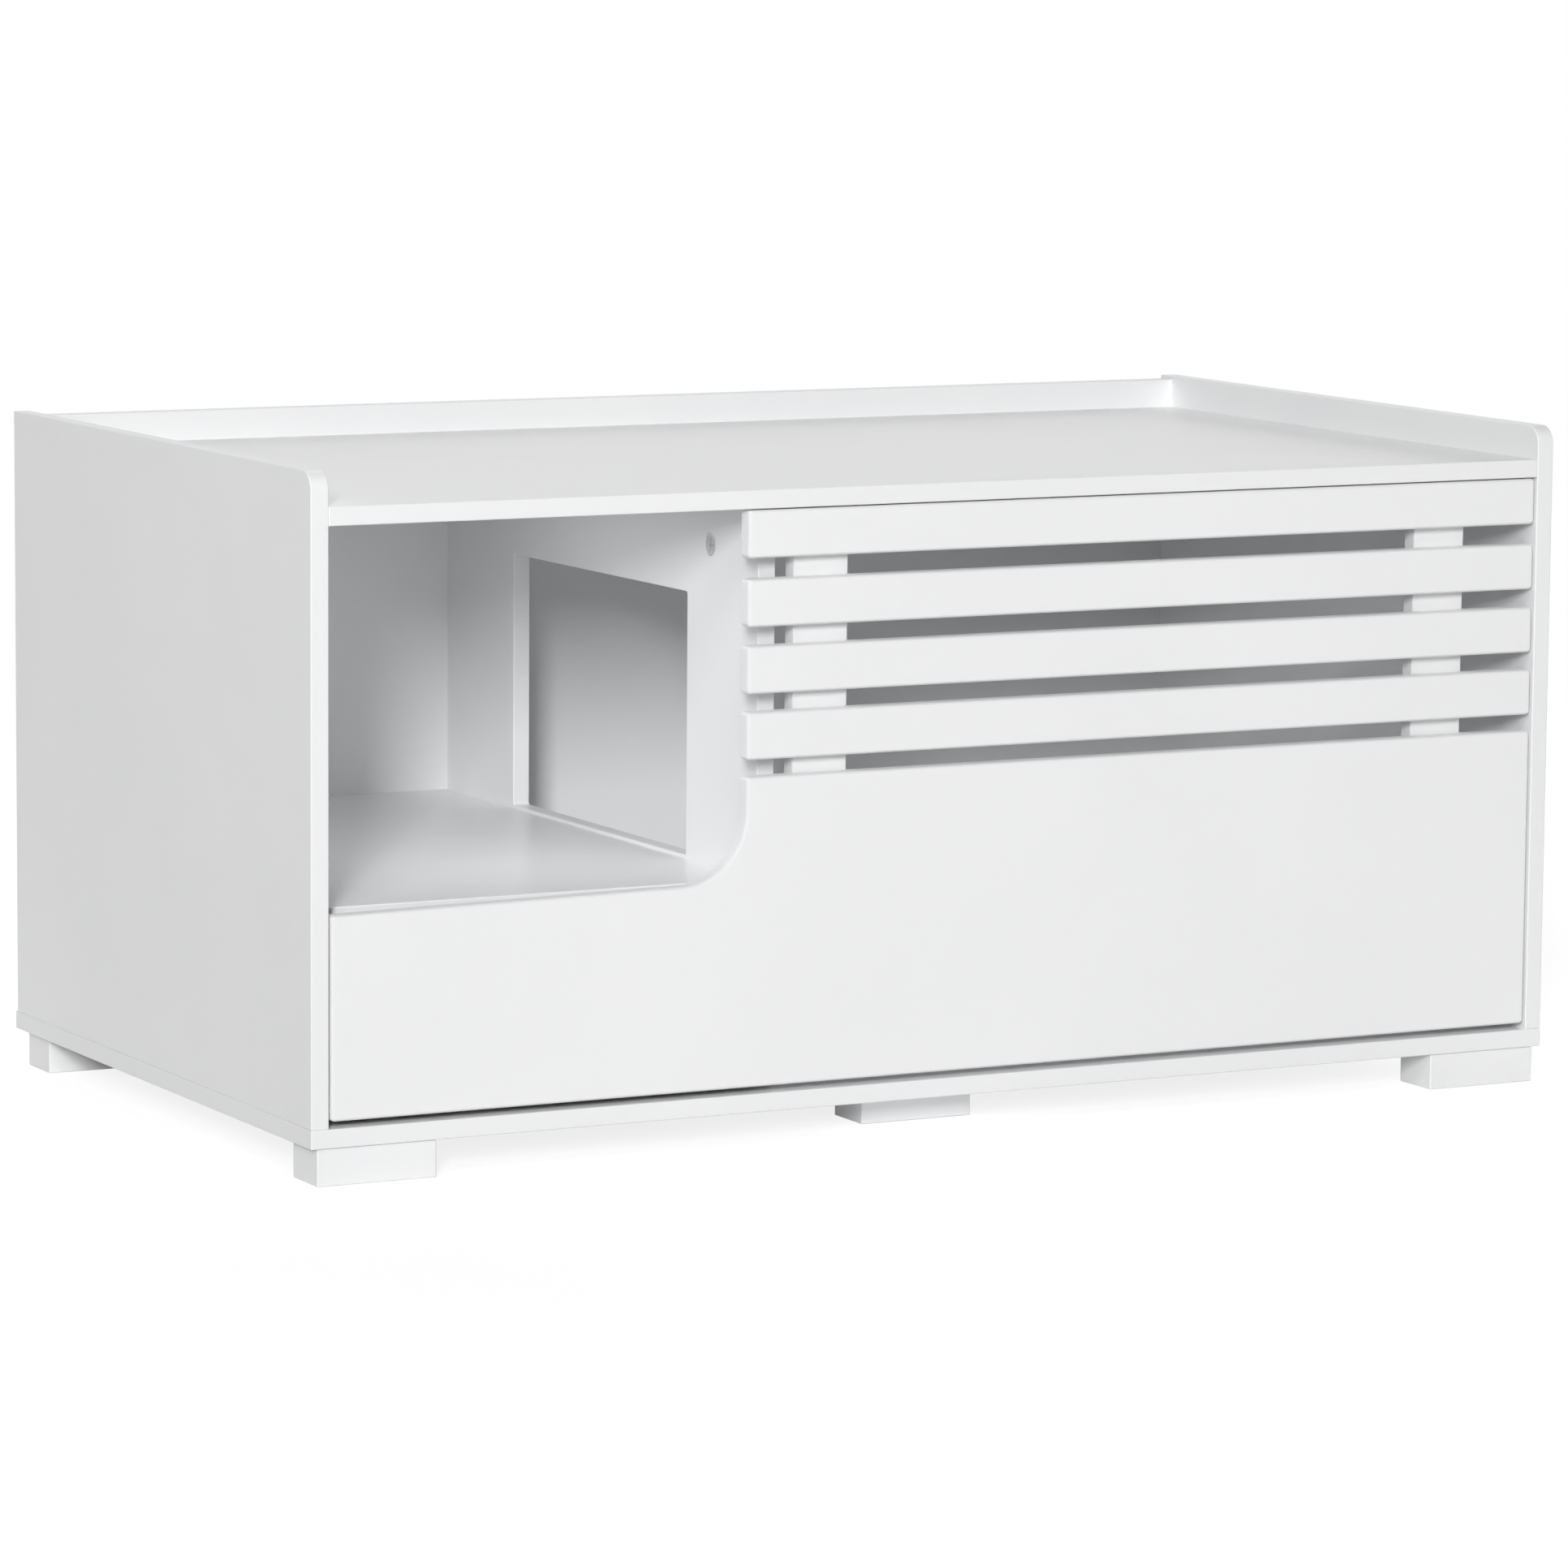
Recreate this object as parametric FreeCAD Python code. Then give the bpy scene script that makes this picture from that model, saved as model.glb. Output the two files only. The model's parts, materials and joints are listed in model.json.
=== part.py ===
import FreeCAD, Part
import math
import os
from collections import defaultdict, namedtuple

# Low white cat cabinet of flat boards, with a stepped front flap that tips forward.
# Millimetres. X runs to the right, Y to the back and Z up. The origin is on the floor,
# under the middle of the cabinet.

# Boards
board_t = 12.0
back_board_t = 3.0
edge_r = 0.8

# Plan of the cabinet
entry_w = 305.4
room_w = 558.6
side_depth = 491.5
bottom_overhang = 3.5
inner_recess = 22.5
side_corner_r = 12.0
back_rebate_w = 6.0
back_board_play = 0.3

# Heights of the cabinet
under_floor_h = 122.2
gallery_rise = 21.8
rail_drop = 2.1

# Doorway in the partition, a little forward of its middle, its sill a little above the entry floor
doorway_w = 260.0
doorway_shift = 3.5
doorway_h = 171.2
doorway_sill = 2.0
doorway_corner_r = 2.0

# Feet
foot_h = 24.0
foot_w = 80.5
foot_d = 37.5
foot_edge_r = 1.0
foot_side_inset = 5.0
foot_front_inset = 2.0
foot_rear_inset = 11.0
middle_foot_setback = 50.0
foot_bore_depth = 3.0
foot_screw_shares = (0.25, 0.75)

# Front flap: gaps round it, stepped lower panel and slats
flap_side_gap = 1.7
flap_bottom_gap = 4.4
flap_top_gap = 0.9
flap_edge_r = 2.0
flap_corner_r = 2.6
step_overlap = 18.4
low_edge_drop = 2.0
low_edge_rise = 3.2
inner_curve_r = 45.0
curve_run = 22.0
slat_h = 30.2
slat_gap = 11.9
slat_gap_shares = (0.90, 0.975, 1.015, 1.11)

# Battens behind the slats
batten_w = 38.8
batten_left_clear = 7.7
batten_right_inset = 47.9
batten_lap = 80.0
batten_top_drop = 4.0
batten_edge_r = 1.0
batten_lap_shares = (0.3, 0.7)

# Flap pivots
pivot_rise = 10.0
pin_r = 2.5
pin_running_gap = 0.05
pin_reach = 8.0
pin_seat = 20.0
bush_r = 4.0
bush_depth = 9.0
bush_flange_r = 5.0
bush_flange_t = 0.8

# Magnetic catches under the top panel and their strike plates
catch_w = 46.0
catch_d = 14.0
catch_h = 13.0
catch_batten_gap = 30.0
catch_edge_r = 0.8
catch_screw_spread = 34.0
magnet_w = 24.0
magnet_d = 6.0
magnet_h = 8.0
magnet_gap = 0.4
strike_w = 36.0
strike_h = 10.0
strike_t = 1.2
strike_screw_spread = 24.0

# Cam joints: nut in one board, bolt in the other
cam_r = 7.5
cam_sink = 0.3
cam_bore_r = 2.7
cam_cross_l = 8.4
cam_cross_w = 1.7
cam_cross_depth = 2.0
cam_arrow_l = 2.2
cam_arrow_w = 2.6
cam_arrow_inset = 0.7
cam_arrow_depth = 0.5
bolt_r = 2.5
bolt_neck_r = 1.7
bolt_head_r = 2.4
bolt_head_l = 2.6
panel_cam_setback = 24.0
panel_cam_inset = 70.0
partition_cam_setback = 31.0
partition_cam_inset = 67.4
floor_cam_inset = 60.0

# Dowels
dowel_r = 3.0
dowel_long_seat = 20.0
dowel_play = 0.5
panel_dowel_inset = 130.0
floor_dowel_inset = 120.0

# Holes
fit = 0.05
blind_floor = 2.5
tip_cover = 4.0
overrun = 5.0
touch = 0.001

# Screws: places along what they join, and sizes
bottom_screw_shares = (0.2, 0.5, 0.8)
bottom_dowel_shares = (0.35, 0.65)
rail_screw_shares = (0.1, 0.5, 0.9)
back_side_shares = (0.08, 0.36, 0.64, 0.92)
back_top_shares = (0.2, 0.4, 0.6, 0.8)
back_partition_shares = (0.2, 0.8)
back_floor_share = 0.5
bottom_screw_bite = 28.0
bottom_screw_r = 2.5
bottom_screw_head_r = 4.5
bottom_screw_head_h = 2.5
panel_screw_r = 2.0
panel_screw_head_r = 4.0
panel_screw_head_h = 2.2
batten_screw_r = 1.75
batten_screw_head_r = 3.4
batten_screw_head_h = 1.9
back_screw_bite = 12.0
back_screw_r = 1.5
back_screw_head_r = 3.0
back_screw_head_h = 1.6
catch_screw_r = 1.5
catch_screw_head_r = 2.8
catch_screw_head_h = 1.6
strike_screw_r = 1.25
strike_screw_head_r = 2.3
strike_screw_head_h = 1.1
cross_w_share = 0.2
cross_l_share = 1.2
cross_depth_share = 0.5

Screw = namedtuple("Screw", "shank_r head_r head_h length")
Cam = namedtuple("Cam", "nut bolt")
Vector = FreeCAD.Vector
RIGHT = Vector(1, 0, 0)
BACK = Vector(0, 1, 0)
UP = Vector(0, 0, 1)

# Worked-out places along X
cabinet_w = entry_w + room_w + 3 * board_t
half_w = cabinet_w / 2
left_in = board_t - half_w
right_in = half_w - board_t
partition_left = left_in + entry_w
partition_right = partition_left + board_t
partition_mid = partition_left + board_t / 2
flap_left = left_in + flap_side_gap
flap_right = right_in - flap_side_gap
step_x = partition_left - step_overlap
batten_lefts = (partition_right + batten_left_clear, flap_right - batten_right_inset - batten_w)

# Worked-out places along Y
bottom_depth = side_depth + bottom_overhang
front_y = -bottom_depth / 2
rear_y = bottom_depth / 2
side_back_y = front_y + side_depth
inner_back_y = side_back_y - back_board_t
inner_front_y = front_y + inner_recess
flap_back_y = front_y + board_t
batten_back_y = flap_back_y + board_t
pivot_y = front_y + board_t / 2
doorway_y = (inner_front_y + inner_back_y - doorway_w) / 2 - doorway_shift

# Worked-out places along Z
bottom_top = foot_h + board_t
flap_bottom = bottom_top + flap_bottom_gap
pivot_z = flap_bottom + pivot_rise
floor_top = bottom_top + under_floor_h + board_t
doorway_low = floor_top + doorway_sill
low_edge_z = floor_top - low_edge_drop
curve_foot_z = low_edge_z + low_edge_rise
low_edge_angle = math.atan2(low_edge_rise, step_x - inner_curve_r - flap_left)
curve_centre_z = curve_foot_z + inner_curve_r / math.cos(low_edge_angle)
lower_top = curve_centre_z + curve_run
slat_bottoms = []
stack_top = lower_top
for share in slat_gap_shares:
    slat_bottoms.append(stack_top + slat_gap * share)
    stack_top = slat_bottoms[-1] + slat_h
flap_top = stack_top
top_under = flap_top + flap_top_gap
top_face = top_under + board_t
side_top = top_face + gallery_rise
rail_top = side_top - rail_drop
rail_h = rail_top - top_face

# Sizes that follow the boards
cam_depth = board_t - blind_floor
thread_l = board_t - blind_floor
dowel_short_seat = board_t - blind_floor - dowel_play
bottom_screw_l = board_t + bottom_screw_bite
foot_screw_l = foot_h - foot_bore_depth + board_t - tip_cover
rail_screw_l = board_t + rail_h - tip_cover
batten_screw_l = 2 * board_t - tip_cover
back_screw_l = back_board_t + back_screw_bite
catch_screw_l = catch_h + board_t - tip_cover
strike_screw_l = strike_t + board_t - tip_cover
bottom_screw = Screw(bottom_screw_r, bottom_screw_head_r, bottom_screw_head_h, bottom_screw_l)
foot_screw = Screw(panel_screw_r, panel_screw_head_r, panel_screw_head_h, foot_screw_l)
rail_screw = Screw(panel_screw_r, panel_screw_head_r, panel_screw_head_h, rail_screw_l)
batten_screw = Screw(batten_screw_r, batten_screw_head_r, batten_screw_head_h, batten_screw_l)
back_screw = Screw(back_screw_r, back_screw_head_r, back_screw_head_h, back_screw_l)
catch_screw = Screw(catch_screw_r, catch_screw_head_r, catch_screw_head_h, catch_screw_l)
strike_screw = Screw(strike_screw_r, strike_screw_head_r, strike_screw_head_h, strike_screw_l)

holes = defaultdict(list)


# Basic shapes
def block(x0, x1, y0, y1, z0, z1):
    """Box between two corners."""
    return Part.makeBox(x1 - x0, y1 - y0, z1 - z0, Vector(x0, y0, z0))


def rod(start, axis, radius, length):
    """Cylinder from a point along an axis."""
    return Part.makeCylinder(radius, length, start, axis)


def placed(shape, seat, axis):
    """Shape drawn along Z from the origin, moved to a seat and turned along an axis."""
    shape.Placement = FreeCAD.Placement(seat, FreeCAD.Rotation(UP, axis))
    return shape


def outline(points):
    """Wire through points; a point in the middle of an arc is given as a tuple of one."""
    edges = []
    count = len(points)
    for i, point in enumerate(points):
        after = points[(i + 1) % count]
        if isinstance(point, tuple):
            continue
        if isinstance(after, tuple):
            end = points[(i + 2) % count]
            edges.append(Part.Arc(point, after[0], end).toShape())
        else:
            edges.append(Part.LineSegment(point, after).toShape())
    return Part.Wire(edges)


def lies_in(edge, axis, value):
    """Whether an edge lies in the plane where its coordinate along an axis is the value."""
    points = [vertex.Point for vertex in edge.Vertexes] + [edge.CenterOfMass]
    return all(abs(point.dot(axis) - value) < touch for point in points)


def soften(shape, radius, planes):
    """Round off every edge that lies in one of the planes, given as axis and value."""
    edges = [e for e in shape.Edges if any(lies_in(e, axis, value) for axis, value in planes)]
    return shape.makeFillet(radius, edges)


# Fasteners
def cross(size):
    """Cross recess of a screw head, along Z from the origin."""
    length = size.head_r * cross_l_share
    width = size.head_r * cross_w_share
    depth = size.head_h * cross_depth_share
    one = block(-length / 2, length / 2, -width / 2, width / 2, 0, depth)
    two = block(-width / 2, width / 2, -length / 2, length / 2, 0, depth)
    return one.fuse(two)


def sunk_screw(seat, axis, size):
    """Countersunk screw with its head's face at the seat and its point along the axis."""
    shank = Part.makeCylinder(size.shank_r, size.length)
    head = Part.makeCone(size.head_r, size.shank_r, size.head_h)
    return placed(shank.fuse(head).cut(cross(size)), seat, axis)


def sunk_hole(seat, axis, size):
    """Hole for a countersunk screw, open on the head's side."""
    shank = Part.makeCylinder(size.shank_r + fit, size.length + fit)
    head = Part.makeCone(size.head_r + fit, size.shank_r + fit, size.head_h)
    mouth = Part.makeCylinder(size.head_r + fit, overrun, -UP * overrun)
    return placed(shank.multiFuse([head, mouth]), seat, axis)


def pan_screw(seat, axis, size):
    """Screw whose flat head stands on the face at the seat."""
    shank = Part.makeCylinder(size.shank_r, size.length)
    head = Part.makeCylinder(size.head_r, size.head_h, -UP * size.head_h)
    recess = cross(size).translated(-UP * size.head_h)
    return placed(shank.fuse(head).cut(recess), seat, axis)


def pan_hole(seat, axis, size):
    """Hole for the shank of a flat-headed screw."""
    return rod(seat - axis * overrun, axis, size.shank_r + fit, size.length + overrun + fit)


def cam_face_marks():
    """Cross and arrow sunk into a cam nut's face, along Z from the origin."""
    half_l = cam_cross_l / 2
    half_w_cross = cam_cross_w / 2
    one = block(-half_l, half_l, -half_w_cross, half_w_cross, 0, cam_cross_depth)
    two = block(-half_w_cross, half_w_cross, -half_l, half_l, 0, cam_cross_depth)
    tip = cam_r - cam_arrow_inset
    foot = tip - cam_arrow_l
    arrow = outline([
        Vector(tip, 0, 0),
        Vector(foot, cam_arrow_w / 2, 0),
        Vector(foot, -cam_arrow_w / 2, 0),
    ])
    return one.multiFuse([two, Part.Face(arrow).extrude(UP * cam_arrow_depth)])


def cam_joint(carrier, mate, face_point, along, out, setback):
    """Cam nut in the carrier board and its bolt in the mate.

    The face point is where the bolt crosses the joint, along points into the mate, and out
    points out of the carrier's face that shows the nut.
    """
    centre = face_point - along * setback
    face = centre + out * (board_t / 2)
    nut = rod(face - out * cam_sink, -out, cam_r, cam_depth - cam_sink)
    head_back = centre - along * (bolt_head_l / 2)
    nut = nut.cut(rod(head_back - along * fit, along, cam_bore_r, cam_r + overrun))
    nut = nut.cut(placed(cam_face_marks(), face - out * cam_sink, -out))
    neck_l = setback + bolt_head_l / 2
    bolt = rod(face_point, along, bolt_r, thread_l)
    bolt = bolt.multiFuse([
        rod(head_back, along, bolt_neck_r, neck_l),
        rod(head_back, along, bolt_head_r, bolt_head_l),
    ])
    holes[carrier].append(rod(face + out * overrun, -out, cam_r + fit, cam_depth + overrun + fit))
    holes[carrier].append(rod(centre, along, cam_bore_r, setback + overrun))
    holes[mate].append(rod(face_point - along * overrun, along, bolt_r + fit, thread_l + overrun + fit))
    return Cam(nut, bolt)


def dowel(carrier, mate, face_point, along):
    """Dowel with its long end in the carrier and its short end in the mate."""
    start = face_point - along * dowel_long_seat
    length = dowel_long_seat + dowel_short_seat
    room = rod(start - along * dowel_play, along, dowel_r + fit, length + 2 * dowel_play)
    holes[carrier].append(room)
    holes[mate].append(room)
    return rod(start, along, dowel_r, length)


def depth_places(shares):
    """Places along the depth of the sides."""
    return [front_y + side_depth * share for share in shares]


# Cabinet boards
def side_panel(outer, inner):
    """Upright side with its front top corner rounded and a rebate for the back board."""
    low_x = min(outer, inner)
    bend = side_corner_r * math.sqrt(0.5)
    corner_y = front_y + side_corner_r
    corner_z = side_top - side_corner_r
    wire = outline([
        Vector(low_x, front_y, bottom_top),
        Vector(low_x, side_back_y, bottom_top),
        Vector(low_x, side_back_y, side_top),
        Vector(low_x, corner_y, side_top),
        (Vector(low_x, corner_y - bend, corner_z + bend),),
        Vector(low_x, front_y, corner_z),
    ])
    panel = Part.Face(wire).extrude(RIGHT * board_t)
    outside = [e for e in panel.Edges if lies_in(e, RIGHT, outer)]
    front_foot = [e for e in panel.Edges if lies_in(e, BACK, front_y) and lies_in(e, UP, bottom_top)]
    inside = [
        e for e in panel.Edges
        if lies_in(e, RIGHT, inner) and not lies_in(e, BACK, side_back_y) and not lies_in(e, UP, bottom_top)
    ]
    panel = panel.makeFillet(edge_r, outside + front_foot + inside)
    inward = 1 if inner > outer else -1
    rebate_x = sorted((inner - inward * back_rebate_w, inner + inward * overrun))
    rebate = block(*rebate_x, inner_back_y, side_back_y + overrun, bottom_top - overrun, top_face)
    return panel.cut(rebate)


def bottom_panel():
    """Board under the sides, a little deeper than they are."""
    panel = block(-half_w, half_w, front_y, rear_y, foot_h, bottom_top)
    return panel.makeFillet(edge_r, panel.Edges)


def top_panel():
    """Board between the sides, set down below their tops."""
    panel = block(left_in, right_in, front_y, inner_back_y, top_under, top_face)
    return soften(panel, edge_r, [(BACK, front_y)])


def back_rail():
    """Low rail that stands on the back edge of the top panel."""
    rail = block(left_in, right_in, inner_back_y - board_t, inner_back_y, top_face, rail_top)
    return soften(rail, edge_r, [(UP, rail_top)])


def back_board():
    """Thin board let into the rebates of the sides."""
    reach = right_in + back_rebate_w - back_board_play
    return block(-reach, reach, inner_back_y, side_back_y, bottom_top, top_face - back_board_play)


def entry_floor():
    """Raised floor of the left bay."""
    floor = block(left_in, partition_left, inner_front_y, inner_back_y, floor_top - board_t, floor_top)
    return soften(floor, edge_r, [(BACK, inner_front_y)])


def partition():
    """Upright between the bays with the doorway cut through it."""
    board = block(partition_left, partition_right, inner_front_y, inner_back_y, bottom_top, top_under)
    board = soften(board, edge_r, [(BACK, inner_front_y)])
    cut = block(
        partition_left - overrun, partition_right + overrun,
        doorway_y, doorway_y + doorway_w, doorway_low, doorway_low + doorway_h,
    )
    lengthwise = [e for e in cut.Edges if abs(e.tangentAt(e.FirstParameter).dot(RIGHT)) > 0.5]
    board = board.cut(cut.makeFillet(doorway_corner_r, lengthwise))
    rim = [
        e for e in board.Edges
        if (lies_in(e, RIGHT, partition_left) or lies_in(e, RIGHT, partition_right))
        and doorway_y - touch < e.CenterOfMass.y < doorway_y + doorway_w + touch
        and doorway_low - touch < e.CenterOfMass.z < doorway_low + doorway_h + touch
    ]
    return board.makeFillet(edge_r, rim)


# Feet
def foot_corners():
    """Front left corner of each foot, by node name."""
    left = foot_side_inset - half_w
    right = half_w - foot_side_inset - foot_w
    middle = -foot_w / 2
    front = front_y + foot_front_inset
    rear = rear_y - foot_rear_inset - foot_d
    return {
        "foot_front_left": (left, front),
        "foot_front_right": (right, front),
        "foot_front_middle": (middle, front_y + middle_foot_setback),
        "foot_rear_left": (left, rear),
        "foot_rear_right": (right, rear),
        "foot_rear_middle": (middle, rear_y - middle_foot_setback - foot_d),
    }


def foot(name, x, y, screws):
    """Block foot, screwed to the bottom panel from below."""
    body = block(x, x + foot_w, y, y + foot_d, 0, foot_h)
    body = body.makeFillet(foot_edge_r, body.Edges)
    for share in foot_screw_shares:
        seat = Vector(x + foot_w * share, y + foot_d / 2, foot_bore_depth)
        hole = sunk_hole(seat, UP, foot_screw)
        screws.append(sunk_screw(seat, UP, foot_screw))
        holes[name].append(hole)
        holes["bottom_panel"].append(hole)
    return body


# Flap pieces
def flap_board(points, corners):
    """Flap board of one outline on the front plane, with its corners and faces rounded off."""
    board = Part.Face(outline(points)).extrude(BACK * board_t)
    corner_edges = [
        e for e in board.Edges
        if any(lies_in(e, RIGHT, corner.x) and lies_in(e, UP, corner.z) for corner in corners)
    ]
    board = board.makeFillet(flap_corner_r, corner_edges)
    return soften(board, flap_edge_r, [(BACK, front_y), (BACK, flap_back_y)])


def curve_point(angle):
    """Point on the flap's inner curve, at an angle from the X axis."""
    return Vector(
        step_x - inner_curve_r + inner_curve_r * math.cos(angle),
        front_y,
        curve_centre_z + inner_curve_r * math.sin(angle),
    )


def flap_lower_panel():
    """Stepped panel: low in front of the entry bay, tall in front of the room."""
    curve_end = low_edge_angle - math.pi / 2
    corners = [
        Vector(flap_left, front_y, low_edge_z),
        Vector(flap_left, front_y, flap_bottom),
        Vector(flap_right, front_y, flap_bottom),
        Vector(flap_right, front_y, lower_top),
        Vector(step_x, front_y, lower_top),
    ]
    curve = [curve_point(0), (curve_point(curve_end / 2),), curve_point(curve_end)]
    return flap_board(corners + curve, corners)


def flap_slat(z):
    """Slat across the room's part of the flap."""
    corners = [
        Vector(step_x, front_y, z),
        Vector(flap_right, front_y, z),
        Vector(flap_right, front_y, z + slat_h),
        Vector(step_x, front_y, z + slat_h),
    ]
    return flap_board(corners, corners)


def flap_batten(name, x, slat_names, screws):
    """Upright behind the slats, screwed to each of them and to the lower panel."""
    bottom = lower_top - batten_lap
    body = block(x, x + batten_w, flap_back_y, batten_back_y, bottom, flap_top - batten_top_drop)
    body = body.makeFillet(batten_edge_r, body.Edges)
    fixed = [("flap_lower_panel", bottom + batten_lap * share) for share in batten_lap_shares]
    fixed += [(slat, z + slat_h / 2) for slat, z in zip(slat_names, slat_bottoms)]
    for board, z in fixed:
        seat = Vector(x + batten_w / 2, batten_back_y, z)
        hole = sunk_hole(seat, -BACK, batten_screw)
        screws.append(sunk_screw(seat, -BACK, batten_screw))
        holes[name].append(hole)
        holes[board].append(hole)
    return body


def pivot_pin(inner, inward):
    """Pin in the flap's lower end that reaches into a side."""
    start = Vector(inner - inward * pin_reach, pivot_y, pivot_z)
    length = pin_reach + flap_side_gap + pin_seat
    holes["flap_lower_panel"].append(rod(start, RIGHT * inward, pin_r + fit, length + fit))
    return rod(start, RIGHT * inward, pin_r, length)


def pivot_bush(side, inner, inward):
    """Flanged bush that the flap's pin turns in, sunk flush into a side."""
    axis = RIGHT * inward
    start = Vector(inner - inward * bush_depth, pivot_y, pivot_z)
    sleeve = rod(start, axis, bush_r, bush_depth)
    flange_seat = Vector(inner - inward * bush_flange_t, pivot_y, pivot_z)
    flange = rod(flange_seat, axis, bush_flange_r, bush_flange_t)
    bore = rod(start - axis * overrun, axis, pin_r + pin_running_gap, bush_depth + 2 * overrun)
    holes[side].append(rod(start, axis, bush_r + fit, bush_depth + overrun))
    holes[side].append(rod(flange_seat, axis, bush_flange_r + fit, bush_flange_t + overrun))
    return sleeve.fuse(flange).cut(bore)


# Catches
def catch_middles():
    """Middle of each catch along X, left then right."""
    reach = catch_batten_gap + catch_w / 2
    return batten_lefts[0] + batten_w + reach, batten_lefts[1] - reach


def catch(name, x, screws):
    """Catch housing under the top panel, with its magnet facing the strike plate."""
    front = flap_back_y + strike_t + magnet_gap
    bottom = top_under - catch_h
    body = block(x - catch_w / 2, x + catch_w / 2, front, front + catch_d, bottom, top_under)
    body = soften(body, catch_edge_r, [(UP, bottom)])
    magnet_z = bottom + (catch_h - magnet_h) / 2
    magnet = block(
        x - magnet_w / 2, x + magnet_w / 2, front, front + magnet_d,
        magnet_z, magnet_z + magnet_h,
    )
    pocket = block(
        x - magnet_w / 2 - fit, x + magnet_w / 2 + fit, front - overrun, front + magnet_d + fit,
        magnet_z - fit, magnet_z + magnet_h + fit,
    )
    holes[name].append(pocket)
    for side in (-1, 1):
        seat = Vector(x + side * catch_screw_spread / 2, front + catch_d / 2, bottom)
        hole = pan_hole(seat, UP, catch_screw)
        screws.append(pan_screw(seat, UP, catch_screw))
        holes[name].append(hole)
        holes["top_panel"].append(hole)
    return body, magnet


def strike_plate(name, x, slat, screws):
    """Steel plate on the back of the top slat, facing a magnet."""
    middle_z = top_under - catch_h / 2
    low = middle_z - strike_h / 2
    plate = block(
        x - strike_w / 2, x + strike_w / 2, flap_back_y, flap_back_y + strike_t,
        low, low + strike_h,
    )
    for side in (-1, 1):
        seat = Vector(x + side * strike_screw_spread / 2, flap_back_y + strike_t, middle_z)
        hole = sunk_hole(seat, -BACK, strike_screw)
        screws.append(sunk_screw(seat, -BACK, strike_screw))
        holes[name].append(hole)
        holes[slat].append(hole)
    return plate


# Joints between the boards
def top_joints():
    """Cams and dowels between the top panel and the sides, and the partition's cams to the top."""
    panel_cams = []
    dowels = []
    mid_z = top_under + board_t / 2
    for side, x, along in (("left_side_panel", left_in, -RIGHT), ("right_side_panel", right_in, RIGHT)):
        for y in (front_y + panel_cam_inset, inner_back_y - panel_cam_inset):
            point = Vector(x, y, mid_z)
            panel_cams.append(cam_joint("top_panel", side, point, along, -UP, panel_cam_setback))
        for y in (front_y + panel_dowel_inset, inner_back_y - panel_dowel_inset):
            dowels.append(dowel("top_panel", side, Vector(x, y, mid_z), along))
    partition_cams = []
    for y in (inner_front_y + partition_cam_inset, inner_back_y - partition_cam_inset):
        point = Vector(partition_mid, y, top_under)
        partition_cams.append(cam_joint("partition", "top_panel", point, UP, -RIGHT, partition_cam_setback))
    return panel_cams, dowels, partition_cams


def floor_joints():
    """Cams and dowels between the entry floor, the left side and the partition."""
    cams = []
    dowels = []
    mid_z = floor_top - board_t / 2
    for mate, x, along in (("left_side_panel", left_in, -RIGHT), ("partition", partition_left, RIGHT)):
        for y in (inner_front_y + floor_cam_inset, inner_back_y - floor_cam_inset):
            point = Vector(x, y, mid_z)
            cams.append(cam_joint("entry_floor", mate, point, along, -UP, panel_cam_setback))
        for y in (inner_front_y + floor_dowel_inset, inner_back_y - floor_dowel_inset):
            dowels.append(dowel("entry_floor", mate, Vector(x, y, mid_z), along))
    return cams, dowels


def bottom_joints():
    """Screws and dowels that hold the sides and the partition to the bottom panel."""
    screws = []
    dowels = []
    uprights = (
        ("left_side_panel", left_in - board_t / 2),
        ("right_side_panel", right_in + board_t / 2),
        ("partition", partition_mid),
    )
    for board, x in uprights:
        for y in depth_places(bottom_screw_shares):
            seat = Vector(x, y, foot_h)
            hole = sunk_hole(seat, UP, bottom_screw)
            screws.append(sunk_screw(seat, UP, bottom_screw))
            holes["bottom_panel"].append(hole)
            holes[board].append(hole)
        for y in depth_places(bottom_dowel_shares):
            dowels.append(dowel(board, "bottom_panel", Vector(x, y, bottom_top), -UP))
    return screws, dowels


def rail_joints():
    """Screws up through the top panel into the rail."""
    screws = []
    for share in rail_screw_shares:
        seat = Vector(left_in + (right_in - left_in) * share, inner_back_y - board_t / 2, top_under)
        hole = sunk_hole(seat, UP, rail_screw)
        screws.append(sunk_screw(seat, UP, rail_screw))
        holes["top_panel"].append(hole)
        holes["back_rail"].append(hole)
    return screws


def back_joints():
    """Screws through the back board into the boards in front of it."""
    side_span = top_face - bottom_top
    places = []
    for share in back_side_shares:
        z = bottom_top + side_span * share
        places.append(("left_side_panel", left_in - back_rebate_w / 2, z))
        places.append(("right_side_panel", right_in + back_rebate_w / 2, z))
    for share in back_top_shares:
        places.append(("top_panel", left_in + (right_in - left_in) * share, top_under + board_t / 2))
    for share in back_partition_shares:
        places.append(("partition", partition_mid, bottom_top + (top_under - bottom_top) * share))
    places.append(("entry_floor", left_in + entry_w * back_floor_share, floor_top - board_t / 2))
    screws = []
    for board, x, z in places:
        seat = Vector(x, side_back_y, z)
        hole = pan_hole(seat, -BACK, back_screw)
        screws.append(pan_screw(seat, -BACK, back_screw))
        holes["back_board"].append(hole)
        holes[board].append(hole)
    return screws


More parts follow.
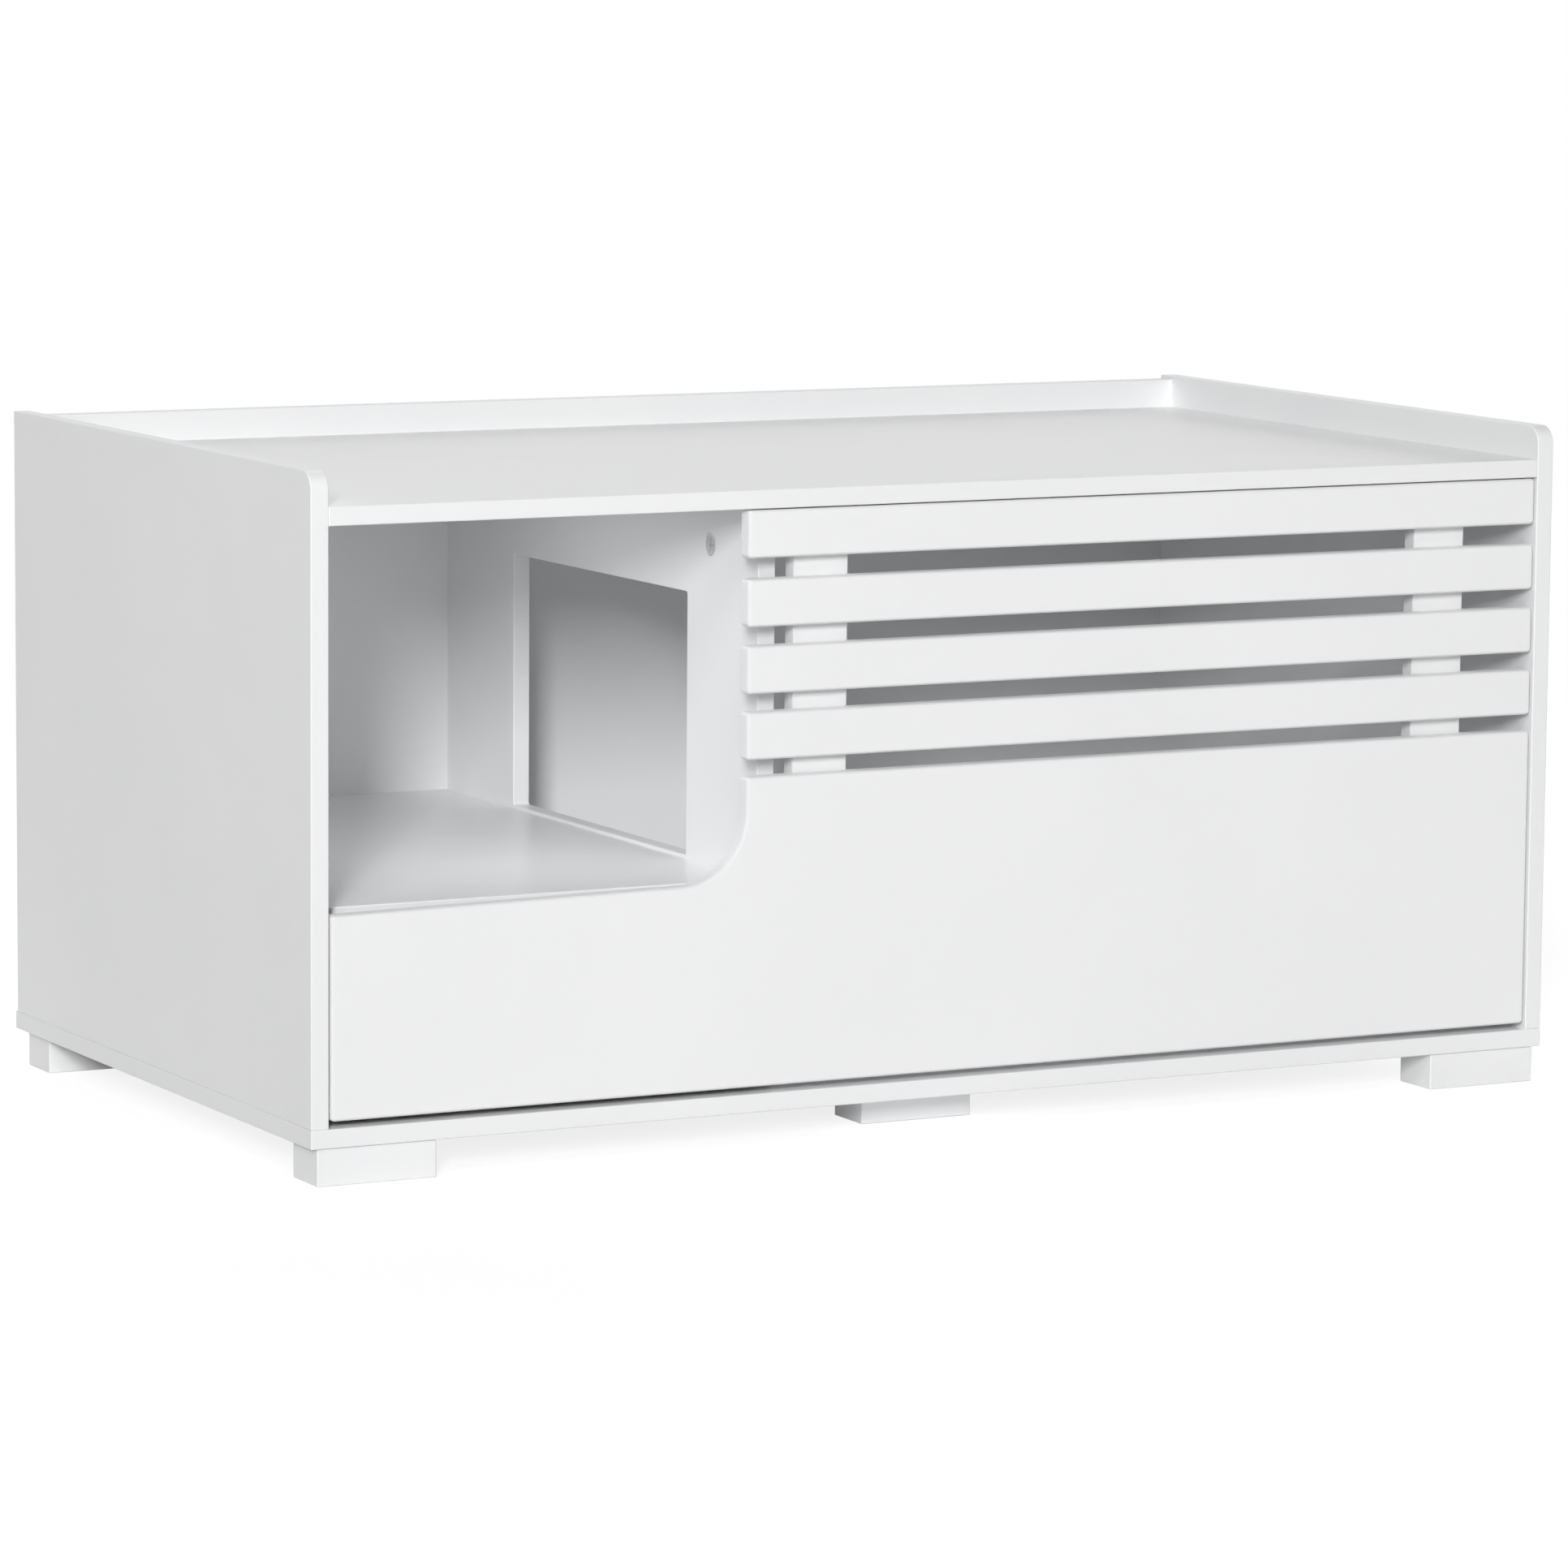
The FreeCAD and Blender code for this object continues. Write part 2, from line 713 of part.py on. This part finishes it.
# The whole cabinet
def build():
    """Every node's solids by node name, with their holes cut."""
    nodes = {
        "bottom_panel": bottom_panel(),
        "left_side_panel": side_panel(-half_w, left_in),
        "right_side_panel": side_panel(half_w, right_in),
        "top_panel": top_panel(),
        "back_rail": back_rail(),
        "back_board": back_board(),
        "partition": partition(),
        "entry_floor": entry_floor(),
        "flap_lower_panel": flap_lower_panel(),
    }
    foot_screws = []
    for name, (x, y) in foot_corners().items():
        nodes[name] = foot(name, x, y, foot_screws)
    slat_names = [f"flap_slat_{i + 1}" for i in range(len(slat_bottoms))]
    for name, z in zip(slat_names, slat_bottoms):
        nodes[name] = flap_slat(z)

    batten_screws = []
    catch_screws = []
    strike_screws = []
    sides = ("left", "right")
    for side, batten_x, catch_x in zip(sides, batten_lefts, catch_middles()):
        batten, housing, plate = f"flap_batten_{side}", f"catch_housing_{side}", f"strike_plate_{side}"
        nodes[batten] = flap_batten(batten, batten_x, slat_names, batten_screws)
        nodes[housing], nodes[f"catch_magnet_{side}"] = catch(housing, catch_x, catch_screws)
        nodes[plate] = strike_plate(plate, catch_x, slat_names[-1], strike_screws)
    for side, inner, inward in zip(sides, (left_in, right_in), (1, -1)):
        nodes[f"pivot_pin_{side}"] = pivot_pin(inner, inward)
        nodes[f"pivot_bush_{side}"] = pivot_bush(f"{side}_side_panel", inner, inward)

    panel_cams, top_dowels, partition_cams = top_joints()
    floor_cams, floor_dowels = floor_joints()
    bottom_screws, bottom_dowels = bottom_joints()
    for place, cams in (("top", panel_cams), ("partition", partition_cams), ("floor", floor_cams)):
        nodes[f"{place}_cam_nuts"] = Part.makeCompound([cam.nut for cam in cams])
        nodes[f"{place}_cam_bolts"] = Part.makeCompound([cam.bolt for cam in cams])
    groups = {
        "top_dowels": top_dowels,
        "floor_dowels": floor_dowels,
        "bottom_dowels": bottom_dowels,
        "bottom_screws": bottom_screws,
        "foot_screws": foot_screws,
        "rail_screws": rail_joints(),
        "back_board_screws": back_joints(),
        "batten_screws": batten_screws,
        "catch_screws": catch_screws,
        "strike_screws": strike_screws,
    }
    for name, solids in groups.items():
        nodes[name] = Part.makeCompound(solids)
    for name, cuts in holes.items():
        nodes[name] = nodes[name].cut(cuts)
    return nodes


os.makedirs("parts", exist_ok=True)
for node, shape in build().items():
    print(node, "solids", len(shape.Solids), "valid", shape.isValid(), "volume", round(shape.Volume, 1))
    shape.exportStep(f"parts/{node}.step")
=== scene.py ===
import json
import math

import bpy
from mathutils import Matrix, Vector


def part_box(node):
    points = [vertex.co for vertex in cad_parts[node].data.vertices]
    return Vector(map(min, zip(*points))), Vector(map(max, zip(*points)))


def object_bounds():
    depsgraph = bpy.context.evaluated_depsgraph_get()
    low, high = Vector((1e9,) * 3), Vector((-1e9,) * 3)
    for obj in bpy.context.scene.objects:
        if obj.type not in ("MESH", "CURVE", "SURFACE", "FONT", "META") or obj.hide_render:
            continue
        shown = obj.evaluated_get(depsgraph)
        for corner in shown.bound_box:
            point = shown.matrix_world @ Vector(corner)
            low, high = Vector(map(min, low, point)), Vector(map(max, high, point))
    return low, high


# White cat cabinet with a slatted front flap, in a plain white studio. Metres and degrees.
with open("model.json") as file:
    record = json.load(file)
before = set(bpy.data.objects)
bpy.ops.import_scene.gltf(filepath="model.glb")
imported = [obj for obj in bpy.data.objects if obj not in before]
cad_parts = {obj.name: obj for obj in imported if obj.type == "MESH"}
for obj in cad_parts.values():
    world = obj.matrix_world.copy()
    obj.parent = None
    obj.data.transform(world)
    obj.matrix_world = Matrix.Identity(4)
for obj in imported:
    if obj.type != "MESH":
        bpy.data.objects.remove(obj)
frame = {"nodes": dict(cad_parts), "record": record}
cad_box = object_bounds()
box_low, box_high = cad_box
box_middle = (box_low + box_high) / 2
up = Vector((0.0, 0.0, 1.0))

# Camera: where it stands, seen from the middle of the cabinet, what it looks at and how far it sees
# Its sensor and lens are in millimetres
camera_azimuth = -27.605
camera_elevation = 7.618
camera_roll = 0.469
camera_distance = 4.6837
camera_aim_offset = Vector((0.0020, -0.0047, -0.0244))
camera_sensor = 36.0
camera_lens = 160.47
camera_reach = 160.0

# Light: an even world, and soft boxes left of the camera, high on that side, over the back and low behind
# Each lamp: azimuth, elevation, distance, width, height and power in watts
# The key and the rear lamp stay out of reflections, so that the top doesn't clip to white
ambient_strength = 0.05
key_lamp = (-32.0, 17.5, 9.0, 1.1, 1.9, 505.0)
high_lamp = (-38.0, 41.0, 9.0, 2.2, 2.6, 165.0)
top_lamp = (160.0, 45.0, 5.0, 3.0, 3.0, 40.0)
rear_lamp = (132.0, 12.0, 9.0, 3.5, 2.0, 500.0)

# Weak fill, for the light that white boards and a white floor pass on to each other
# Inside the bay and the room: width, depth and power in watts
bay_fill = (0.20, 0.28, 0.135)
bay_fill_setback = 0.16
room_fill = (0.45, 0.36, 0.125)
fill_gap = 0.005
# On the floor before the middle foot, a margin wider than the foot
foot_fill_power = 0.0068
foot_fill_margin = 0.03
foot_fill_gap = 0.0005
fill_colour = (0.97, 0.985, 1.0)

# Floor: white to the camera, with only the cabinet's own soft shadow on it, which ends at the fade
floor_reach = 40.0
floor_glow = 0.80
floor_shade_colour = (0.36, 0.36, 0.36, 1.0)
floor_bounce_colour = (0.8, 0.8, 0.8, 1.0)
floor_fade_start = 0.9
floor_fade_end = 2.6
white = (1.0, 1.0, 1.0, 1.0)
white_strength = 1.0

# Whites of the boards, from their darkest to their lightest, and a painted shade for the lacquer's rounded
# edges
foil_dark = (0.896, 0.900, 0.906, 1.0)
foil_light = (0.914, 0.917, 0.922, 1.0)
lacquer_dark = (0.902, 0.905, 0.910, 1.0)
lacquer_light = (0.918, 0.921, 0.925, 1.0)
# Painted shade: the lacquer's rounded edges are darkened so the key's highlight on them stays below white
lacquer_edge_shade = (0.800, 0.804, 0.810, 1.0)
hardboard_dark = (0.886, 0.890, 0.896, 1.0)
hardboard_light = (0.905, 0.908, 0.913, 1.0)

# Their gloss, from the least rough to the most, and their orange peel: lumps to the metre and depth
foil_roughness = (0.32, 0.38)
foil_peel = (620.0, 0.000008)
lacquer_roughness = (0.46, 0.54)
lacquer_peel = (420.0, 0.00001)
hardboard_roughness = (0.40, 0.50)
hardboard_peel = (900.0, 0.00002)
plastic_roughness = (0.40, 0.50)
plastic_peel = (1500.0, 0.00002)

# What all whites share: noise of the clouds, the gloss and the peel as lumps to the metre and detail
cloud_noise = (7.0, 4.0)
gloss_noise = (38.0, 3.0)
peel_detail = 2.0
peel_strength = 0.35

# Metals: darkest and lightest colour, roughness, lumps to the metre and how metallic
# A relief is the strength of its bump and its depth
zinc_dark = (0.74, 0.74, 0.75, 1.0)
zinc_light = (0.86, 0.86, 0.87, 1.0)
zinc_roughness = (0.42, 0.56)
zinc_lumps = 520.0
zinc_metallic = 0.55
steel_dark = (0.46, 0.46, 0.47, 1.0)
steel_light = (0.62, 0.62, 0.63, 1.0)
steel_roughness = (0.26, 0.42)
steel_lumps = 700.0
steel_metallic = 1.0
mottle_detail = 4.0
metal_grain_share = 3.0
metal_grain_detail = 2.0
metal_relief = (0.4, 0.00005)

# Ferrite and beech: darkest and lightest colour, roughness, lumps to the metre and relief
ferrite_dark = (0.03, 0.03, 0.032, 1.0)
ferrite_light = (0.08, 0.08, 0.083, 1.0)
ferrite_roughness = (0.45, 0.62)
ferrite_lumps = 1800.0
ferrite_relief = (0.4, 0.00004)
beech_dark = (0.36, 0.21, 0.10, 1.0)
beech_light = (0.56, 0.38, 0.21, 1.0)
beech_roughness = (0.55, 0.75)
beech_lumps = 900.0
beech_relief = (0.5, 0.0001)
beech_stretch = (0.12, 1.0, 0.12)
grain_detail = 4.0

# Where noise lies between its extremes, for a colour and for a value
colour_spread = (0.35, 0.65)
value_spread = (0.3, 0.7)
no_stretch = (1.0, 1.0, 1.0)


# Node helpers
def new_material(name):
    """Empty node material: the material, its tree and its main shader."""
    material = bpy.data.materials.new(name)
    material.use_nodes = True
    tree = material.node_tree
    return material, tree, tree.nodes["Principled BSDF"]


def add_node(tree, kind, settings):
    """Node of a kind with its sockets set by name or number."""
    node = tree.nodes.new(kind)
    for socket, value in settings.items():
        node.inputs[socket].default_value = value
    return node


def body_coords(tree, stretch=no_stretch):
    """Coordinates in metres that stay with the piece, stretched along its axes."""
    coords = tree.nodes.new("ShaderNodeTexCoord")
    mapping = add_node(tree, "ShaderNodeMapping", {"Scale": stretch})
    tree.links.new(coords.outputs["Object"], mapping.inputs["Vector"])
    return mapping.outputs["Vector"]


def noise(tree, coords, scale, detail):
    """Soft noise with that many lumps to the metre."""
    node = add_node(tree, "ShaderNodeTexNoise", {"Scale": scale, "Detail": detail})
    tree.links.new(coords, node.inputs["Vector"])
    return node.outputs["Fac"]


def blend_colours(tree, factor, dark, light):
    """Colour between two, as the noise goes across its usual spread."""
    node = tree.nodes.new("ShaderNodeValToRGB")
    for element, place, colour in zip(node.color_ramp.elements, colour_spread, (dark, light)):
        element.position = place
        element.color = colour
    tree.links.new(factor, node.inputs["Fac"])
    return node.outputs["Color"]


def spread_value(tree, factor, low, high):
    """Value between two, as the noise goes across its usual spread."""
    least, most = value_spread
    settings = {"From Min": least, "From Max": most, "To Min": low, "To Max": high}
    node = add_node(tree, "ShaderNodeMapRange", settings)
    tree.links.new(factor, node.inputs["Value"])
    return node.outputs["Result"]


def bump(tree, height, strength, depth):
    """Normal of a surface raised by a height of that depth in metres."""
    node = add_node(tree, "ShaderNodeBump", {"Strength": strength, "Distance": depth})
    tree.links.new(height, node.inputs["Height"])
    return node.outputs["Normal"]


def multiply(tree, first, second):
    """Product of two values."""
    node = tree.nodes.new("ShaderNodeMath")
    node.operation = "MULTIPLY"
    tree.links.new(first, node.inputs[0])
    tree.links.new(second, node.inputs[1])
    return node.outputs["Value"]


# Mask for the painted shade on the lacquer's rounded edges
def painted_edge_shade_mask(tree):
    """0 on faces square to the Y axis or along it, and 1 on the roundings halfway between them."""
    coords = tree.nodes.new("ShaderNodeTexCoord")
    parts = tree.nodes.new("ShaderNodeSeparateXYZ")
    tree.links.new(coords.outputs["Normal"], parts.inputs["Vector"])
    square = multiply(tree, parts.outputs["Y"], parts.outputs["Y"])
    rest = add_node(tree, "ShaderNodeMath", {0: 1.0})
    rest.operation = "SUBTRACT"
    tree.links.new(square, rest.inputs[1])
    both = multiply(tree, square, rest.outputs["Value"])
    # A share times what it leaves is largest where both are a half
    half = 0.5
    share = add_node(tree, "ShaderNodeMapRange", {"From Max": half * half})
    tree.links.new(both, share.inputs["Value"])
    return share.outputs["Result"]


def mix_colours(tree, factor, first, second):
    """The first colour, a socket, at factor 0 and the second, a value, at 1."""
    node = tree.nodes.new("ShaderNodeMix")
    node.data_type = "RGBA"
    tree.links.new(factor, node.inputs["Factor"])
    tree.links.new(first, node.inputs["A"])
    node.inputs["B"].default_value = second
    return node.outputs["Result"]


# Kinds of surface
def painted(name, dark, light, roughness, peel, edge=None):
    """Satin white skin: faintly clouded colour, uneven gloss and a fine orange peel, with painted shade on
    rounded edges when an edge colour is given.
    """
    material, tree, shader = new_material(name)
    peel_scale, peel_depth = peel
    coords = body_coords(tree)
    clouds = noise(tree, coords, *cloud_noise)
    gloss = noise(tree, coords, *gloss_noise)
    lumps = noise(tree, coords, peel_scale, peel_detail)
    colour = blend_colours(tree, clouds, dark, light)
    # Painted shade: the rounded edges take the darker edge colour
    if edge:
        colour = mix_colours(tree, painted_edge_shade_mask(tree), colour, edge)
    tree.links.new(colour, shader.inputs["Base Color"])
    tree.links.new(spread_value(tree, gloss, *roughness), shader.inputs["Roughness"])
    tree.links.new(bump(tree, lumps, peel_strength, peel_depth), shader.inputs["Normal"])
    return material


def metal(name, dark, light, roughness, lumps, metallic):
    """Bare or plated metal with a mottled skin and uneven roughness."""
    material, tree, shader = new_material(name)
    coords = body_coords(tree)
    mottle = noise(tree, coords, lumps, mottle_detail)
    grain = noise(tree, coords, lumps * metal_grain_share, metal_grain_detail)
    shader.inputs["Metallic"].default_value = metallic
    tree.links.new(blend_colours(tree, mottle, dark, light), shader.inputs["Base Color"])
    tree.links.new(spread_value(tree, grain, *roughness), shader.inputs["Roughness"])
    tree.links.new(bump(tree, grain, *metal_relief), shader.inputs["Normal"])
    return material


def grained(name, dark, light, roughness, lumps, relief, stretch=no_stretch):
    """Dull material whose colour, gloss and relief follow one grain."""
    material, tree, shader = new_material(name)
    grain = noise(tree, body_coords(tree, stretch), lumps, grain_detail)
    tree.links.new(blend_colours(tree, grain, dark, light), shader.inputs["Base Color"])
    tree.links.new(spread_value(tree, grain, *roughness), shader.inputs["Roughness"])
    tree.links.new(bump(tree, grain, *relief), shader.inputs["Normal"])
    return material


# Materials, one for each slot
def white_board():
    """White foil on board."""
    return painted("white_board", foil_dark, foil_light, foil_roughness, foil_peel)


def white_lacquer():
    """Lacquer over smooth rounded boards."""
    return painted(
        "white_lacquer", lacquer_dark, lacquer_light, lacquer_roughness, lacquer_peel, lacquer_edge_shade
    )


def white_hardboard():
    """Thin white-faced hardboard, a little rougher than the boards."""
    return painted("white_hardboard", hardboard_dark, hardboard_light, hardboard_roughness, hardboard_peel)


def white_plastic():
    """Moulded white plastic."""
    return painted("white_plastic", hardboard_dark, foil_light, plastic_roughness, plastic_peel)


def cam_zinc():
    """Die-cast zinc, dull and mottled."""
    return metal("cam_zinc", zinc_dark, zinc_light, zinc_roughness, zinc_lumps, zinc_metallic)


def screw_steel():
    """Zinc-plated steel."""
    return metal("screw_steel", steel_dark, steel_light, steel_roughness, steel_lumps, steel_metallic)


def magnet():
    """Dark ferrite."""
    return grained("magnet", ferrite_dark, ferrite_light, ferrite_roughness, ferrite_lumps, ferrite_relief)


def dowel_wood():
    """Bare beech with short dark flecks."""
    return grained(
        "dowel_wood", beech_dark, beech_light, beech_roughness, beech_lumps, beech_relief, beech_stretch
    )


def dress_nodes():
    """Gives every CAD node the finish of its slot."""
    makers = (
        white_board, white_lacquer, white_hardboard, white_plastic,
        cam_zinc, screw_steel, magnet, dowel_wood,
    )
    finishes = {make.__name__: make() for make in makers}
    for part in frame["record"]["subparts"]:
        for slot in frame["nodes"][part["node"]].material_slots:
            slot.material = finishes[part["material_slot"]]


# Studio
def direction(azimuth, elevation):
    """Unit vector towards a point at that azimuth and elevation; azimuth 0 is in front."""
    a, e = math.radians(azimuth), math.radians(elevation)
    return Vector((math.sin(a) * math.cos(e), -math.cos(a) * math.cos(e), math.sin(e)))


def seen_rays(tree):
    """1 for rays that show the background itself: camera, glossy and transmission rays."""
    path = tree.nodes.new("ShaderNodeLightPath")
    total = path.outputs["Is Camera Ray"]
    for name in ("Is Glossy Ray", "Is Transmission Ray"):
        either = tree.nodes.new("ShaderNodeMath")
        either.operation = "MAXIMUM"
        tree.links.new(total, either.inputs[0])
        tree.links.new(path.outputs[name], either.inputs[1])
        total = either.outputs["Value"]
    return total


def mix_shaders(tree, factor, first, second):
    """The first shader at factor 0, the second at 1."""
    mix = tree.nodes.new("ShaderNodeMixShader")
    tree.links.new(factor, mix.inputs["Fac"])
    tree.links.new(first, mix.inputs[1])
    tree.links.new(second, mix.inputs[2])
    return mix.outputs["Shader"]


def studio_world():
    """Even soft light, white where it is seen."""
    world = bpy.data.worlds.new("studio")
    bpy.context.scene.world = world
    world.use_nodes = True
    tree = world.node_tree
    light = tree.nodes["Background"]
    light.inputs["Color"].default_value = white
    light.inputs["Strength"].default_value = ambient_strength
    shown = add_node(tree, "ShaderNodeBackground", {"Color": white, "Strength": white_strength})
    either = mix_shaders(tree, seen_rays(tree), light.outputs["Background"], shown.outputs["Background"])
    tree.links.new(either, tree.nodes["World Output"].inputs["Surface"])


def floor_fade(tree):
    """0 around the cabinet and 1 farther out, with a smooth step between."""
    coords = tree.nodes.new("ShaderNodeTexCoord")
    distance = tree.nodes.new("ShaderNodeVectorMath")
    distance.operation = "LENGTH"
    fade = add_node(tree, "ShaderNodeMapRange", {"From Min": floor_fade_start, "From Max": floor_fade_end})
    fade.interpolation_type = "SMOOTHSTEP"
    tree.links.new(coords.outputs["Object"], distance.inputs[0])
    tree.links.new(distance.outputs["Value"], fade.inputs["Value"])
    return fade.outputs["Result"]


def floor_material():
    """Pale floor that shows as white and keeps the cabinet's shadow."""
    material, tree, shader = new_material("studio_floor")
    tree.nodes.remove(shader)
    bounce = add_node(tree, "ShaderNodeBsdfDiffuse", {"Color": floor_bounce_colour})
    shade = add_node(tree, "ShaderNodeBsdfDiffuse", {"Color": floor_shade_colour})
    glow = add_node(tree, "ShaderNodeEmission", {"Color": white, "Strength": floor_glow})
    far = add_node(tree, "ShaderNodeEmission", {"Color": white, "Strength": white_strength})
    near = tree.nodes.new("ShaderNodeAddShader")
    tree.links.new(shade.outputs["BSDF"], near.inputs[0])
    tree.links.new(glow.outputs["Emission"], near.inputs[1])
    seen = mix_shaders(tree, floor_fade(tree), near.outputs["Shader"], far.outputs["Emission"])
    shown = mix_shaders(tree, seen_rays(tree), bounce.outputs["BSDF"], seen)
    tree.links.new(shown, tree.nodes["Material Output"].inputs["Surface"])
    return material


def studio_floor():
    """Wide flat floor under the feet."""
    r = floor_reach
    mesh = bpy.data.meshes.new("studio_floor")
    mesh.from_pydata([(-r, -r, 0.0), (r, -r, 0.0), (r, r, 0.0), (-r, r, 0.0)], [], [(0, 1, 2, 3)])
    floor = bpy.data.objects.new("studio_floor", mesh)
    floor.data.materials.append(floor_material())
    bpy.context.scene.collection.objects.link(floor)


def area_lamp(name, place, facing, width, height, power):
    """Rectangular soft lamp at a place, facing that way."""
    lamp = bpy.data.lights.new(name, "AREA")
    lamp.shape = "RECTANGLE"
    lamp.size = width
    lamp.size_y = height
    lamp.energy = power
    holder = bpy.data.objects.new(name, lamp)
    holder.location = place
    holder.rotation_euler = (-facing).to_track_quat("Z", "Y").to_euler()
    bpy.context.scene.collection.objects.link(holder)
    return holder


def soft_box(name, azimuth, elevation, distance, width, height, power):
    """Upright studio lamp that faces the middle of the cabinet."""
    towards = direction(azimuth, elevation)
    return area_lamp(name, box_middle + towards * distance, -towards, width, height, power)


def bay_lamp():
    """Lamp under the bay's ceiling, facing down."""
    floor_low, floor_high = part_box("entry_floor")
    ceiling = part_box("top_panel")[0].z - fill_gap
    place = Vector(((floor_low.x + floor_high.x) / 2, floor_low.y + bay_fill_setback, ceiling))
    return area_lamp("bay_fill", place, -up, *bay_fill)


def room_lamp():
    """Lamp on the room's floor, facing up, as far back as the middle of the entry floor."""
    floor_low, floor_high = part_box("entry_floor")
    left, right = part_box("partition")[1].x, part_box("right_side_panel")[0].x
    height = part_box("bottom_panel")[1].z + fill_gap
    place = Vector(((left + right) / 2, (floor_low.y + floor_high.y) / 2, height))
    return area_lamp("room_fill", place, up, *room_fill)


def foot_lamp():
    """Lamp on the floor between the cabinet's front and the middle foot, facing up."""
    low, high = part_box("foot_front_middle")
    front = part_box("bottom_panel")[0].y
    place = Vector(((low.x + high.x) / 2, (front + low.y) / 2, low.z + foot_fill_gap))
    width = high.x - low.x + 2 * foot_fill_margin
    return area_lamp("foot_fill", place, up, width, low.y - front, foot_fill_power)


def fill_lamps():
    """The weak lamps in and under the cabinet, which themselves are never seen."""
    for holder in (foot_lamp(), bay_lamp(), room_lamp()):
        holder.data.color = fill_colour
        holder.visible_camera = False
        holder.visible_glossy = False


def photo_camera():
    """Camera at the photograph's viewing angle."""
    camera = bpy.data.cameras.new("photo_camera")
    camera.sensor_fit = "HORIZONTAL"
    camera.sensor_width = camera_sensor
    camera.lens = camera_lens
    camera.clip_end = camera_reach
    back = direction(camera_azimuth, camera_elevation)
    level_right = up.cross(back).normalized()
    level_up = back.cross(level_right)
    roll = math.radians(camera_roll)
    rolled_right = level_right * math.cos(roll) + level_up * math.sin(roll)
    rolled_up = level_up * math.cos(roll) - level_right * math.sin(roll)
    holder = bpy.data.objects.new("photo_camera", camera)
    turn = Matrix((rolled_right, rolled_up, back)).transposed().to_4x4()
    place = box_middle + camera_aim_offset + back * camera_distance
    holder.matrix_world = Matrix.Translation(place) @ turn
    bpy.context.scene.collection.objects.link(holder)
    bpy.context.scene.camera = holder


dress_nodes()
studio_world()
studio_floor()
soft_box("key", *key_lamp).visible_glossy = False
soft_box("high", *high_lamp)
soft_box("top", *top_lamp)
soft_box("rear", *rear_lamp).visible_glossy = False
fill_lamps()
photo_camera()
bpy.context.scene.view_settings.view_transform = "Standard"
